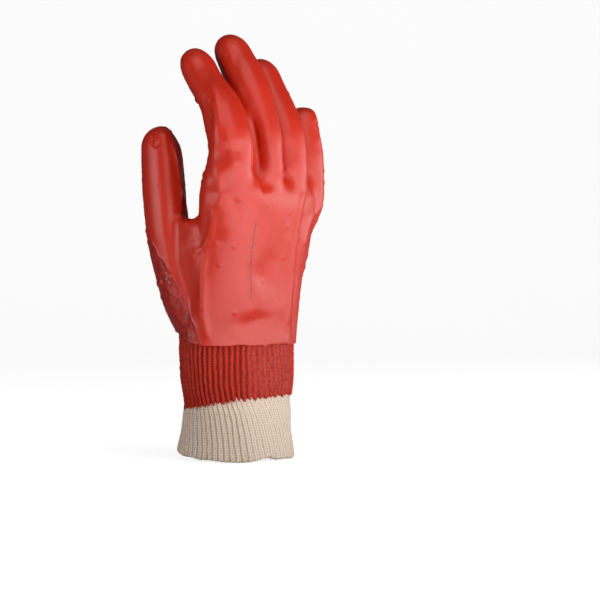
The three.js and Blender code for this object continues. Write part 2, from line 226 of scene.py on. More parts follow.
WELD = 1e-6
RIM_REACH = 6.0  # the hem's rim lies within this height of the hem
RIM_SLOPE = -0.55  # and faces down at least this much
PLUG_DEPTH = 26.0  # how far below the hem the closed skin reaches


def open_edges(bm):
    return [e for e in bm.edges if e.is_boundary]


def outside_of_hand():
    """The outer skin of the hand, closed by a plug that reaches below the hem, and the hem's own points."""
    bm = bmesh.new()
    bm.from_mesh(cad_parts["hand_shell"].data)
    bmesh.ops.remove_doubles(bm, verts=bm.verts, dist=WELD)
    low = (HEM_HEIGHT + RIM_REACH) * MM
    rim = [f for f in bm.faces if f.normal.z < RIM_SLOPE and max(v.co.z for v in f.verts) < low]
    bmesh.ops.delete(bm, geom=rim, context="FACES")
    top = max(bm.verts, key=lambda v: v.co.z)
    kept = {top}
    front = [top]
    while front:
        for edge in front.pop().link_edges:
            for vert in edge.verts:
                if vert not in kept:
                    kept.add(vert)
                    front.append(vert)
    bmesh.ops.delete(bm, geom=[v for v in bm.verts if v not in kept], context="VERTS")
    ring = np.array([v.co[:] for v in bm.verts if v.is_boundary]) / MM
    skirt = bmesh.ops.extrude_edge_only(bm, edges=open_edges(bm))
    for item in skirt["geom"]:
        if isinstance(item, bmesh.types.BMVert):
            item.co.z = (HEM_HEIGHT - PLUG_DEPTH) * MM
    bmesh.ops.holes_fill(bm, edges=open_edges(bm), sides=0)
    bmesh.ops.recalc_face_normals(bm, faces=bm.faces)
    mesh = bpy.data.meshes.new("skin")
    bm.to_mesh(mesh)
    bm.free()
    return mesh, ring


class Hem:
    """The hem's radius and height at each polar angle round the wrist."""

    def __init__(self, ring):
        flat = ring[:, :2]
        self.centre = (flat.min(axis=0) + flat.max(axis=0)) / 2
        angle = self.angle_of(flat)
        order = np.argsort(angle)
        self.angle = angle[order]
        self.radius = np.linalg.norm(flat - self.centre, axis=1)[order]
        self.height = ring[order, 2]

    def angle_of(self, flat):
        """The polar angle of places in plan, round the hem's centre."""
        d = flat - self.centre
        return np.arctan2(d[..., 1], d[..., 0])

    def at(self, angle, values):
        """The radius or the height of the hem at any polar angle."""
        return np.interp(half_turn(angle), self.angle, values, period=FULL_TURN)


def half_turn(angle):
    """The same angle between minus and plus half a turn."""
    return (angle + math.pi) % FULL_TURN - math.pi


def thumb_side(angle):
    """1 at the thumb's edge of the wrist and 0 away from it."""
    return bell(half_turn(angle - HEM_RISE_ANGLE), HEM_RISE_SPREAD)


# The waves of the dipped edge: how many go round, how high they are, and where they start
HEM_WAVES = ((5, 0.3, 1.0), (13, 0.18, 0.4))


def hem_line(hem, points):
    """The height of the hem above or below each point, uneven like a dipped edge."""
    angle = hem.angle_of(points[:, :2])
    wave = sum(high * np.sin(angle * count + start) for count, high, start in HEM_WAVES)
    return hem.at(angle, hem.height) + wave + HEM_RISE * thumb_side(angle)


# Folds of the smooth coat, as lines that the view shows. The points of a line are millimetres sideways
# and up in that view. high is the ridge's height above the skin, or its depth if negative, and wide is
# its half width. Where beyond is given, the fold keeps to the side of the glove past that x.
FOLDS = {
    "ridge along the index finger": {
        "high": 1.0,
        "wide": 3.0,
        "line": [(-17.7, 246.6), (-12.7, 233.8), (-11.9, 218.3), (-12.7, 206.8), (-13.8, 190.7)],
    },
    "ridge over the index knuckle": {
        "high": 1.1,
        "wide": 3.2,
        "line": [(-13.8, 190.7), (-11.5, 180.0), (-10.0, 170.1), (-13.8, 160.5)],
    },
    "ridge toward the thumb's web": {
        "high": 1.2,
        "wide": 2.4,
        "line": [(-13.8, 160.5), (-16.4, 142.2), (-20.5, 134.5), (-28.0, 131.0)],
    },
    "ridge down the back's left edge": {
        "high": 1.2,
        "wide": 2.6,
        "line": [(-19.0, 136.0), (-21.5, 120.0), (-21.5, 92.9), (-17.5, 73.6)],
    },
    "ridge down the back's right edge": {
        "high": 1.0,
        "wide": 1.8,
        "line": [(44.1, 172.7), (39.2, 149.5), (37.6, 118.6), (35.0, 99.4), (33.8, 83.9)],
    },
    "ridge below the little finger": {
        "high": 0.8,
        "wide": 1.6,
        "line": [(54.3, 162.4), (47.0, 149.5), (43.4, 134.1)],
    },
    "ridge on the little finger": {
        "high": 0.6,
        "wide": 1.4,
        "line": [(51.6, 220.8), (50.2, 215.8), (54.8, 201.0)],
    },
    "ridge along the thumb": {
        "high": 0.8,
        "wide": 1.3,
        "line": [(-41.5, 205.5), (-37.6, 190.0), (-35.7, 177.2), (-34.8, 163.0)],
    },
    "dent above the index knuckle": {
        "high": -1.2,
        "wide": 7.0,
        "line": [(-9.0, 200.0), (-2.0, 202.0), (5.0, 199.0), (12.0, 190.0)],
    },
    "swelling of the index knuckle": {
        "high": 1.3,
        "wide": 5.0,
        "line": [(-9.0, 189.0), (-1.0, 189.5), (6.0, 183.0)],
    },
    "dent below the index knuckle": {
        "high": -2.0,
        "wide": 3.8,
        "line": [(-6.5, 169.5), (1.5, 161.5), (6.0, 155.5)],
    },
    "dent at the middle fingertip": {
        "high": -0.8,
        "wide": 3.0,
        "line": [(-1.6, 263.0), (0.3, 255.6), (3.5, 248.0)],
    },
    "dimple of the thumb's tip": {
        "high": -1.2,
        "wide": 1.0,
        "line": [(-54.3, 207.4), (-53.2, 201.8), (-50.8, 200.2), (-48.2, 204.5)],
    },
    "hollow beside the index finger's ridge": {
        "high": -1.3,
        "wide": 4.0,
        "line": [(-22.5, 236.0), (-18.0, 220.0), (-17.5, 205.0)],
    },
    "hollow between the index and middle fingers": {
        "high": -6.0,
        "wide": 6.5,
        "line": [(7.0, 226.0), (13.0, 205.0), (17.0, 190.0), (20.0, 180.0)],
        "beyond": -27.0,
    },
    "bottom of that hollow": {
        "high": -2.0,
        "wide": 4.5,
        "line": [(13.0, 200.0), (15.5, 188.0), (18.0, 178.0)],
        "beyond": -27.0,
    },
    "dent beside the ridge toward the web": {
        "high": -1.2,
        "wide": 5.0,
        "line": [(-4.0, 150.0), (-14.0, 128.0)],
    },
    "upper dent of the back": {
        "high": -1.0,
        "wide": 5.0,
        "line": [(19.0, 140.0), (27.0, 112.0)],
    },
    "dent above the hem": {
        "high": -2.0,
        "wide": 5.5,
        "line": [(-2.0, 80.0), (6.0, 84.0), (16.0, 88.0), (26.0, 86.0)],
    },
    "middle dent of the back": {
        "high": -1.4,
        "wide": 6.0,
        "line": [(6.0, 128.0), (16.0, 118.0), (26.0, 104.0)],
    },
    "groove beside the back's right ridge": {
        "high": -0.9,
        "wide": 1.8,
        "line": [(41.0, 142.0), (37.5, 112.0), (37.0, 90.0), (37.5, 70.0)],
    },
    "dent of the thumb's web": {
        "high": -1.5,
        "wide": 6.0,
        "line": [(-38.0, 150.0), (-30.0, 138.0)],
    },
}
FOLD_END_FADE = 0.8  # the share of a fold's height that is gone at its ends
FOLD_END_REACH = 1.8  # how far the fading reaches, in half widths

# Places where the thin glove bulges or gives way in the view: the middle of each, its half width and half
# height, and how far it moves sideways and up.
NUDGES = [
    {"side": -20.0, "up": 167.0, "wide": 9.0, "tall": 14.0, "across": -3.2, "rise": 0.0},
    {"side": -19.0, "up": 197.0, "wide": 9.0, "tall": 10.0, "across": 2.2, "rise": 0.0},
    {"side": -27.0, "up": 156.0, "wide": 6.0, "tall": 8.0, "across": 0.0, "rise": -3.2},
    {"side": 50.0, "up": 222.0, "wide": 6.0, "tall": 8.0, "across": 1.0, "rise": 1.8},
    {"side": -37.0, "up": 206.0, "wide": 6.0, "tall": 9.0, "across": -1.8, "rise": -0.8},
]

# The webs between the fingers and the line of the knuckles, where the coat stretches into smooth curves:
# the middle of each in the view, and its reach.
WEBS = [
    {"side": 17.0, "up": 184.0, "reach": 13.0},
    {"side": 33.0, "up": 196.0, "reach": 9.0},
    {"side": 46.0, "up": 176.0, "reach": 9.0},
    {"side": -2.0, "up": 186.0, "reach": 17.0},
    {"side": 5.0, "up": 170.0, "reach": 15.0},
    {"side": 26.0, "up": 171.0, "reach": 15.0},
    {"side": 39.0, "up": 170.0, "reach": 13.0},
]
WEB_ROUNDS = 90
WEB_PULL = 0.6
WEB_LEAST = 0.01  # points with a smaller weight stay

# The left edge of the smooth coat below the thumb, and its edge along the thumb, in the same view
COAT_EDGE = {"up": [72.3, 89.7, 107.7, 129.6, 145.0], "side": [-22.8, -28.0, -35.7, -48.6, -58.0]}
THUMB_EDGE = {"up": [152.7, 163.0, 177.2, 190.0, 205.5], "side": [-34.8, -34.8, -35.7, -37.6, -41.5]}
THUMB_SIDE = {"front": -9.0, "low": 150.0, "high": 216.0}  # the thumb's part of the skin, by y and z
# A thin black scuff on the back of the hand, in the same view
SCUFF = {"up": [101.3, 125.7, 136.7, 151.4], "side": [10.0, 10.0, 10.9, 13.2]}

# Where the coat turns rough on the fingers: how far the skin has to face away, and how the bent
# fingertips shift it
ROUGH_FROM = 0.04
ROUGH_OUTER_TIPS = -0.3
ROUGH_MIDDLE_TIPS = 0.32
TIPS = (222.0, 242.0)  # the heights between which the bent fingertips begin
MIDDLE_FINGERS = {"x": -12.0, "reach": 16.0}
ROUGH_WOBBLE = 0.03
ROUGH_STEP = 0.03  # half the width of the step from smooth to rough, in the same measure

# The fingers curl toward the palm, so their backs face up: how much, between two heights
CURLS = ((0.9, 185.0, 250.0), (0.3, 150.0, 200.0))

# The unevenness of the coat: the size of each feature, how high it makes the skin, and its random salt
SWELLS = ((22.0, 0.25, 1), (9.0, 0.1, 2))
PIMPLES = {"pitch": 11.0, "chance": 0.4, "salt": 21}
PIMPLE_HIGH = 0.4
PIMPLE_CUT = 0.86  # only the top of each lump shows, which keeps it small
PITS = {"pitch": 9.0, "chance": 0.3, "salt": 26}
PIT_DEEP = 0.3
PIT_CUT = 0.9
COAT_LIP = 0.35  # the thicker line where the smooth coat ends on the rough one
LIP_WIDTH = 0.3
WEAVE_PITCH = 2.1
WEAVE_HIGH = 0.12
GRAINS = ((3.0, 0.3, 33), (1.6, 0.15, 34))
GRAIN_HIGH = 0.4
BEADS = {"pitch": 4.2, "chance": 0.35, "salt": 41}
BEAD_HIGH = 0.9
ROUGH_SINK = 0.1


def line_distance(side, up, line):
    """The distance from each place in the view to a line of several points."""
    best = np.full(len(side), FAR)
    p = np.stack([side, up], axis=1)
    for a, b in zip(np.array(line[:-1]), np.array(line[1:])):
        t = np.clip((p - a) @ (b - a) / ((b - a) @ (b - a)), 0, 1)
        best = np.minimum(best, np.linalg.norm(p - a - t[:, None] * (b - a), axis=1))
    return best


def roughness_mask(points, facing, left, side, up):
    """1 on the rough palm coat and 0 on the smooth back coat."""
    x, y, z = points.T
    middle = np.abs(x - MIDDLE_FINGERS["x"]) < MIDDLE_FINGERS["reach"]
    high = smoothstep(z, *TIPS)
    limit = ROUGH_FROM + ROUGH_OUTER_TIPS * high * (1 - middle) + ROUGH_MIDDLE_TIPS * left * middle * high
    wobble = ROUGH_WOBBLE * noise(points, 9.0, 11)
    rough = smoothstep(limit - facing + wobble, -ROUGH_STEP, ROUGH_STEP)
    edge = np.interp(up, COAT_EDGE["up"], COAT_EDGE["side"], right=-FAR)
    lower = smoothstep(edge - side + noise(points, 5.0, 12), -1.2, 1.2)
    thumb = (y > THUMB_SIDE["front"]) & (z > THUMB_SIDE["low"]) & (z < THUMB_SIDE["high"])
    line = np.interp(up, THUMB_EDGE["up"], THUMB_EDGE["side"])
    beyond = smoothstep(side - line, -0.6, 0.6) * thumb
    return np.maximum(rough, np.maximum(lower, beyond))


def relax(points, edges, weight, rounds):
    """Eases points toward the mean of their neighbours, each by its weight."""
    count = np.bincount(edges.ravel(), minlength=len(points)).astype(float)
    near = weight > WEB_LEAST
    use = edges[near[edges].any(axis=1)]
    for _ in range(rounds):
        total = np.zeros_like(points)
        for axis in range(3):
            total[:, axis] = np.bincount(use[:, 0], points[use[:, 1], axis], len(points))
            total[:, axis] += np.bincount(use[:, 1], points[use[:, 0], axis], len(points))
        mean = np.where(near[:, None], total / np.maximum(count, 1)[:, None], points)
        points = points + (mean - points) * (WEB_PULL * weight)[:, None]
    return points


def edge_list(faces):
    """Each edge of a mesh of quads once, and how many faces it has."""
    pairs = np.concatenate([faces[:, [k, (k + 1) % 4]] for k in range(4)])
    return np.unique(np.sort(pairs, axis=1), axis=0, return_counts=True)


VOXEL = 0.85  # the size of the cells that the skin is cut into
CELL_OVERHANG = 0.6  # cells reach this share of their size below the hem before they are set on it
EASE = ("SMOOTH", {"factor": 0.5, "iterations": 70})
# The slant at which the skin is cut, so that no side of the hand lies along the cells
TILT = Matrix.Rotation(0.6, 3, "X") @ Matrix.Rotation(0.5, 3, "Z")


def even_skin(closed):
    """The closed skin in small cells of one size, eased without shrinking, as a mesh and its points."""
    closed.transform(TILT.to_4x4())
    cells = {"mode": "VOXEL", "voxel_size": VOXEL * MM, "use_smooth_shade": True}
    base = modified(closed, ("REMESH", cells))
    first = points_of(base)
    eased = points_of(modified(base, EASE))
    base.vertices.foreach_set("co", ((first - eased) * MM).ravel())
    points = (eased + points_of(modified(base, EASE))) @ np.array(TILT)
    base.vertices.foreach_set("co", (points * MM).ravel())
    base.update()
    return base, points


def nudged(points):
    """The skin with its local bulges."""
    side, up = seen_from_eye(points)
    for nudge in NUDGES:
        across = (side - nudge["side"]) / nudge["wide"]
        along = (up - nudge["up"]) / nudge["tall"]
        pull = np.exp(-(across**2) - along**2)
        points = points + pull[:, None] * (RIGHT * nudge["across"] + UP * nudge["rise"])
    return points


def web_weight(points):
    """1 in the webs and on the knuckle line, and 0 away from them."""
    side, up = seen_from_eye(points)
    weight = np.zeros(len(points))
    for web in WEBS:
        off = ((side - web["side"]) ** 2 + (up - web["up"]) ** 2) / web["reach"] ** 2
        weight = np.maximum(weight, np.exp(-2 * off * off))
    return weight


def build_hand():
    """The hand's smooth skin down to the hem: points, normals, faces, the hem's points and the hem."""
    closed, ring = outside_of_hand()
    hem = Hem(ring)
    base, points = even_skin(closed)
    points = nudged(points)
    faces = np.array([p.vertices[:] for p in base.polygons])
    line = hem_line(hem, points)
    inside = points[:, 2] > line - CELL_OVERHANG * VOXEL
    faces = faces[inside[faces].all(axis=1)]
    used, flat = np.unique(faces, return_inverse=True)
    faces, points, line = flat.reshape(faces.shape), points[used], line[used]
    edges, count = edge_list(faces)
    border = np.unique(edges[count == 1])
    points[border, 2] = line[border]
    points = relax(points, edges, web_weight(points), WEB_ROUNDS)
    return points, normals_of(points, faces), faces, border, hem


def fold_heights(points, facing, side, up):
    """All the folds of the side that the view shows."""
    shown = smoothstep(facing, 0.0, 0.25)
    folds = np.zeros(len(points))
    for fold in FOLDS.values():
        ends = np.array(fold["line"])[[0, -1]]
        to_end = np.min([np.hypot(side - e[0], up - e[1]) for e in ends], axis=0)
        over = shown * smoothstep(points[:, 0] - fold.get("beyond", -FAR), -2.0, 2.0)
        over = over * (1 - FOLD_END_FADE * bell(to_end, FOLD_END_REACH * fold["wide"]))
        folds += fold["high"] * bell(line_distance(side, up, fold["line"]), fold["wide"]) * over
    return folds


def smooth_relief(points):
    """Pimples and pits of the smooth coat."""
    relief = PIMPLE_HIGH * smoothstep(lumps(points, **PIMPLES), PIMPLE_CUT, 1.0)
    return relief - PIT_DEEP * smoothstep(lumps(points, **PITS), PIT_CUT, 1.0)


def rough_relief(points):
    """The rough coat: fabric ribs below, grain and wet folds, and beads on top."""
    wander = 0.5 * noise(points, 8.0, 31)
    patches = 0.5 + 0.5 * noise(points, 14.0, 32)
    weave = np.sin(points[:, 0] * WEAVE_PITCH + wander) * patches
    grain = sum(high * noise(points, size, salt) for size, high, salt in GRAINS)
    beads = lumps(points, **BEADS) * smoothstep(noise(points, 14.0, 51), -0.3, 0.5)
    return WEAVE_HIGH * weave + GRAIN_HIGH * grain + BEAD_HIGH * beads - ROUGH_SINK


def shape_hand(points, skin):
    """Folds, dents and grain as a height above the smooth skin, and the masks of the materials."""
    side, up = seen_from_eye(points)
    to_eye = EYE - points
    facing = np.einsum("ij,ij->i", skin, to_eye) / np.linalg.norm(to_eye, axis=1)
    curl = sum(share * smoothstep(points[:, 2], low, high) for share, low, high in CURLS)
    to_back = (facing + curl * (skin @ UP)) / np.sqrt(1 + curl**2)
    rough = roughness_mask(points, to_back, skin @ RIGHT < 0, side, up)
    folds = fold_heights(points, facing, side, up)
    height = folds + sum(high * noise(points, size, salt) for size, high, salt in SWELLS)
    height += (1 - rough) * smooth_relief(points)
    height += COAT_LIP * bell(rough - 0.5, LIP_WIDTH)
    height += rough * rough_relief(points)
    bend = np.interp(up, SCUFF["up"], SCUFF["side"], left=FAR, right=FAR)
    scuff = np.where(facing > 0, side - bend, FAR)
    return height, folds, {"rough": rough, "scuff": scuff, "along": up}


HEM_FADE = 4.0  # the relief fades out over this height above the hem
HEM_FLATTEST = 0.3  # and to this share
TUCK = 1.0  # how far the raised part of the hem leans in toward the band
TUCK_REACH = 14.0

hand_points, hand_normals, hand_faces, hand_border, hem = build_hand()
hand_height, hand_folds, hand_masks = shape_hand(hand_points, hand_normals)
above_hem = hand_points[:, 2] - hem_line(hem, hand_points)
flatness = HEM_FLATTEST + (1 - HEM_FLATTEST) * smoothstep(above_hem, 0.0, HEM_FADE)
tucked = thumb_side(hem.angle_of(hand_points[:, :2])) * (1 - smoothstep(above_hem, 0.0, TUCK_REACH))
outer_points = hand_points + hand_normals * (hand_height * flatness - TUCK * tucked)[:, None]
share = hand_masks["rough"][hand_faces].mean(axis=1)
HALVES = (("back", hand_faces[share < 0.5]), ("palm", hand_faces[share >= 0.5]))


def build_coat():
    """The coat in two objects, the smooth back and the rough palm, each with its part of the hem's rim."""
    for name, faces in HALVES:
        used = np.unique(faces)
        number = np.full(len(hand_points), -1)
        number[used] = np.arange(len(used))
        border = np.zeros(len(hand_points), bool)
        border[hand_border] = True
        rim_verts = used[border[used]]
        inner = hand_points[rim_verts] - hand_normals[rim_verts] * HEM_WALL
        inner_number = np.full(len(hand_points), -1)
        inner_number[rim_verts] = len(used) + np.arange(len(rim_verts))
        polygons = number[faces].tolist()
        sides = np.concatenate([faces[:, [0, 1]], faces[:, [1, 2]], faces[:, [2, 3]], faces[:, [3, 0]]])
        for a, b in sides[border[sides].all(axis=1)]:
            polygons.append([number[b], number[a], inner_number[a], inner_number[b]])
        points = np.concatenate([outer_points[used], inner])
        values = {k: np.concatenate([v[used], v[rim_verts]]) for k, v in hand_masks.items()}
        obj = make_object(f"coat_{name}", points, polygons, values)
        obj.data.materials.append(MATERIALS["pvc"])
        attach(obj, "root")
        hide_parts("hand_shell")


def build_liner():
    """The cotton inside of the hand, behind each of the coat's two objects."""
    depth = np.full(len(hand_points), COAT_WALL)
    depth[hand_border] = HEM_WALL
    points = hand_points + hand_normals * (np.minimum(hand_folds, 0) - depth - tucked)[:, None]
    for name, faces in HALVES:
        used, flat = np.unique(faces[:, ::-1], return_inverse=True)
        obj = make_object(f"liner_{name}", points[used], flat.reshape(faces.shape).tolist())
        obj.data.materials.append(MATERIALS["cotton"])
        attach(obj, "root")


# Knit parts


# Sections of the wrist. rise is the height, across and lean the centre, and width and depth the whole
# section.
WRIST = {
    "rise": [0.0, 16.0, 30.4, 38.0, 48.5, 60.0],
    "across": [0.0, 0.0, -0.4, -1.1, -1.6, -1.8],
    "lean": [0.0, -0.7, -2.2, -3.9, -3.9, -3.9],
    "width": [77.0, 77.8, 80.8, 86.0, 91.5, 92.0],
    "depth": [72.0, 63.4, 54.7, 47.5, 48.8, 49.0],
}
OVAL_POWER = 2.1  # 2 is an ellipse, and more is squarer
CORNER_EASE = (-4.0, -2.0, 0.0, 2.0, 4.0)
HEM_CLEARANCE = 0.5
GATHER_FROM = 46.0  # above this height the wrist draws in under the hem
GATHER_END = 3.0  # and this far below the hem it has its full fit
NOISE_RADIUS = 40.0  # the knit's noises are read on a round sleeve of this radius

# The height of the red's edge on the wrist, and how it slopes, dips and wanders round it
RED_EDGE = 38.4
RED_SLOPE = 4.2
RED_DIP = 1.8
RED_RAGGED = 1.6
RED_SCALLOP = 1.3

BAND_RELIEF = {"base": -1.0, "rib": 1.1, "soaked": 0.6, "grain": 0.26, "soaked grain": 0.12, "lump": 0.1}
BAND_STITCH = 0.07
BAND_STITCH_PITCH = 1.7
BAND_SOAKED_RIB = 0.8  # the share of a rib's height that the coat fills where it soaked in
BAND_EDGE_ROLL = 0.4
BAND_FOLD = {"high": 5.5, "low": 0.5, "wall": 2.0}  # the fold inside its lower edge

CUFF_RELIEF = {"base": -0.7, "rib": 0.75, "grain": 0.12, "wave": 0.35}
CUFF_FLARE = 0.6
CUFF_FLARE_HEIGHT = 14.0
CUFF_WAIST = 0.9  # how far it draws in under the band
CUFF_RIM = {"low": 0.8, "arch": 5.6, "power": 1.5, "wave": 0.3}
CUFF_LIFT = {"high": 1.8, "at": 0.6, "wide": 0.22}  # where the rim turns up, by its place across the view
CUFF_SLANT = 0.14  # how far the ribs lean over at the right, for each millimetre of height
CUFF_SLANT_FROM = 12.0
CUFF_WAVE = 1.6  # how many radians of the ribs' wave there are in a millimetre
CUFF_EDGE_ROLL = 0.5
CUFF_FOLD = (30.0, 10.0, 0.5)  # the rows of the fold inside its rim, above the rim


def oval(turn, half_width, half_depth):
    """Points round a squared ellipse."""
    c = np.cos(turn)
    s = np.sin(turn)
    x = half_width * np.sign(c) * np.abs(c) ** (2 / OVAL_POWER)
    y = half_depth * np.sign(s) * np.abs(s) ** (2 / OVAL_POWER)
    return np.stack([x, y], axis=-1)


def smooth_row(name, z):
    """A column of the wrist table at any height, with its corners eased."""
    total = sum(np.interp(z + shift, WRIST["rise"], WRIST[name]) for shift in CORNER_EASE)
    return total / len(CORNER_EASE)


def wrist_point(turn, z):
    """A point of the wrist's outer surface, which follows the inside of the hem at its top."""
    free = oval(turn, smooth_row("width", z) / 2, smooth_row("depth", z) / 2)
    free = free + np.stack([smooth_row("across", z), smooth_row("lean", z)], axis=-1)
    angle = hem.angle_of(free)
    radius = hem.at(angle, hem.radius) - HEM_WALL - HEM_CLEARANCE
    under = hem.centre + np.stack([np.cos(angle), np.sin(angle)], axis=-1) * radius[..., None]
    w = smoothstep(z, GATHER_FROM, hem.at(angle, hem.height) - GATHER_END)[..., None]
    return free * (1 - w) + under * w


def turns_round(count, rows):
    """The angle of each point of a sleeve, alike in every row."""
    return np.broadcast_to(np.linspace(0, FULL_TURN, count, endpoint=False), (rows, count))


def place_for_noise(turn, z):
    return np.stack([np.cos(turn) * NOISE_RADIUS, np.sin(turn) * NOISE_RADIUS, z], axis=-1)


def tube(name, surface, turns, rows, slot, replaced):
    """A closed sleeve. surface gives rows of points round the wrist and what the material reads there."""
    points, values = surface(turns, rows)
    count, across = points.shape[:2]
    faces = []
    for r in range(count - 1):
        for i in range(across):
            j = (i + 1) % across
            faces.append([r * across + i, r * across + j, (r + 1) * across + j, (r + 1) * across + i])
    values = {k: v.reshape(-1, *v.shape[2:]) for k, v in values.items()}
    obj = make_object(name, points.reshape(-1, 3), faces, values)
    obj.data.materials.append(MATERIALS[slot])
    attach(obj, "root")
    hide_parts(replaced)


def out_of_wrist(turn, z, height):
    """Points of the wrist's surface moved outward by a height."""
    step = 1e-3
    p = wrist_point(turn, z)
    tangent = wrist_point(turn + step, z) - wrist_point(turn - step, z)
    tangent = tangent / np.linalg.norm(tangent, axis=-1, keepdims=True)
    outward = np.stack([tangent[..., 1], -tangent[..., 0]], axis=-1)
    moved = p + outward * height[..., None]
    return np.concatenate([moved, z[..., None]], axis=-1)


def knit_pattern(turn, z):
    """Counts of stitches round the wrist and up it, for the materials."""
    return np.stack([turn * RIB_COUNT / math.pi, z / COURSE, z * 0], axis=-1)


def rib_wave(turn, shift, sharp):
    """0 in a groove and 1 on a rib, for ribs all round the wrist."""
    wave = 0.5 + 0.5 * np.cos(turn * RIB_COUNT + shift)
    return wave**sharp


def across_view(turn):
    """-1 at the left edge of the wrist as the view shows it, 1 at the right edge and 0 in the middle."""
    return np.sin(turn + math.radians(90 + VIEW_AZIMUTH))


def toward_view(turn):
    """1 on the side that the view shows and -1 behind."""
    return np.cos(turn + math.radians(90 + VIEW_AZIMUTH))


def red_edge(turn):
    """Where the red coat ends on the knit, ragged from rib to rib."""
    across = across_view(turn)
    slope = RED_EDGE + RED_SLOPE * across - RED_DIP * across**2
    rib = np.floor(turn * RIB_COUNT / FULL_TURN + 0.5)
    cell = np.stack([rib, rib * 0, rib * 0], axis=-1).astype(np.int64)
    ragged = (hashed(cell, 61) - 0.5) * RED_RAGGED
    return slope + ragged - RED_SCALLOP * rib_wave(turn, 0.0, 1.0)


def soaked(turn, flat):
    """1 where the coat fills the ribs: at both edges of the view, and in patches behind."""
    across = across_view(turn)
    shown = smoothstep(toward_view(turn), -0.2, 0.2)
    ends = smoothstep(-across, 0.45, 0.75) + smoothstep(across, 0.4, 0.65)
    patchy = smoothstep(noise(flat * np.array([1, 1, 0.5]), 12.0, 72), -0.2, 0.6)
    return np.clip(shown * ends * (0.6 + 0.4 * patchy) + (1 - shown) * patchy, 0, 1)


def band_surface(turns, rows):
    """The dipped band, from a lip inside its lower edge up into the hem."""
    turn = turns_round(turns, rows)
    low = red_edge(turn)
    angle = hem.angle_of(wrist_point(turn, np.full_like(turn, HEM_HEIGHT)))
    high = hem.at(angle, hem.height) + HEM_LAP + HEM_RISE * thumb_side(angle)
    z = low + (high - low) * np.linspace(0, 1, rows)[:, None]
    flat = place_for_noise(turn, z)
    shift = 0.7 * noise(flat, 14.0, 71) + 0.65 * noise(flat, 4.0, 75)
    wet = soaked(turn, flat)
    rib = rib_wave(turn, shift, 1.2)
    loop = np.cos(turn * RIB_COUNT + shift) ** 2
    stitch = np.sin(z * FULL_TURN / BAND_STITCH_PITCH + 1.2 * loop)
    relief = BAND_RELIEF
    height = relief["base"] + relief["rib"] * rib * (1 - BAND_SOAKED_RIB * wet) + relief["soaked"] * wet
    height += (relief["grain"] + relief["soaked grain"] * wet) * noise(flat, 1.1, 73)
    height += relief["lump"] * noise(flat, 2.6, 74) + BAND_STITCH * stitch * rib * (1 - wet)
    height -= BAND_EDGE_ROLL * (1 - smoothstep(z - low, 0, 1.0))
    outer = out_of_wrist(turn, z, height)
    values = {"rib": rib, "wet": wet, "pattern": knit_pattern(turn + shift / RIB_COUNT, z)}
    levels = np.concatenate([low[:1] + BAND_FOLD["high"], low[:1] + BAND_FOLD["low"]])
    inner = out_of_wrist(turn[:2], levels, np.full((2, turns), -BAND_FOLD["wall"]))
    return np.concatenate([inner, outer]), {k: np.concatenate([v[:2], v]) for k, v in values.items()}


def cuff_bottom(turn):
    """The cuff's rim: arched toward the palm, wavy, and turned up at one place."""
    arch = (0.5 + 0.5 * np.sin(turn)) ** CUFF_RIM["power"]
    wave = np.sin(turn * 9 + 2 * np.sin(turn * 4)) - rib_wave(turn, 0.0, 1.0)
    front = toward_view(turn) > 0
    lift = CUFF_LIFT["high"] * front * bell(across_view(turn) - CUFF_LIFT["at"], CUFF_LIFT["wide"])
    return CUFF_RIM["low"] + CUFF_RIM["arch"] * arch + CUFF_RIM["wave"] * wave + lift


def cuff_surface(turns, rows):
    """The bare cuff, from a fold inside its rim up into the band."""
    turn = turns_round(turns, rows)
    bottom = cuff_bottom(turn)
    top = CUFF_LENGTH + BAND_LAP
    z = bottom + (top - bottom) * np.linspace(0, 1, rows)[:, None]
    flat = place_for_noise(turn, z)
    across = across_view(turn)
    lean = smoothstep(across, 0.1, 0.8) * smoothstep(z, CUFF_SLANT_FROM, 30.0) * (z - CUFF_SLANT_FROM)
    shift = 0.5 * noise(flat, 14.0, 81) + 0.45 * noise(flat, 4.0, 84) + CUFF_WAVE * CUFF_SLANT * lean
    depth = 0.95 - 0.6 * smoothstep(across, 0.15, 0.7)
    rib = 1 - (1 - rib_wave(turn, shift, 0.8)) * depth
    relief = CUFF_RELIEF
    height = relief["base"] + relief["rib"] * rib
    height += relief["grain"] * noise(flat, 1.3, 83) + relief["wave"] * noise(flat, 9.0, 82)
    height += CUFF_FLARE * (1 - smoothstep(z - bottom, 0, CUFF_FLARE_HEIGHT))
    height -= CUFF_WAIST * smoothstep(z, 31.0, 37.0)
    height -= CUFF_EDGE_ROLL * (1 - smoothstep(z - bottom, 0, 0.9))
    outer = out_of_wrist(turn, z, height)
    levels = np.stack([bottom[0] + above for above in CUFF_FOLD])
    inner = out_of_wrist(turn[:3], levels, np.full((3, turns), relief["base"] - KNIT_WALL))
    edge = out_of_wrist(turn[:1], bottom[:1] - 0.3, np.full((1, turns), 2 * relief["base"]))
    points = np.concatenate([inner, edge, outer])
    values = {"rib": rib, "pattern": knit_pattern(turn + shift / RIB_COUNT, z)}
    return points, {k: np.concatenate([v[:1], v[:1], v[:1], v[:1], v]) for k, v in values.items()}


# Materials


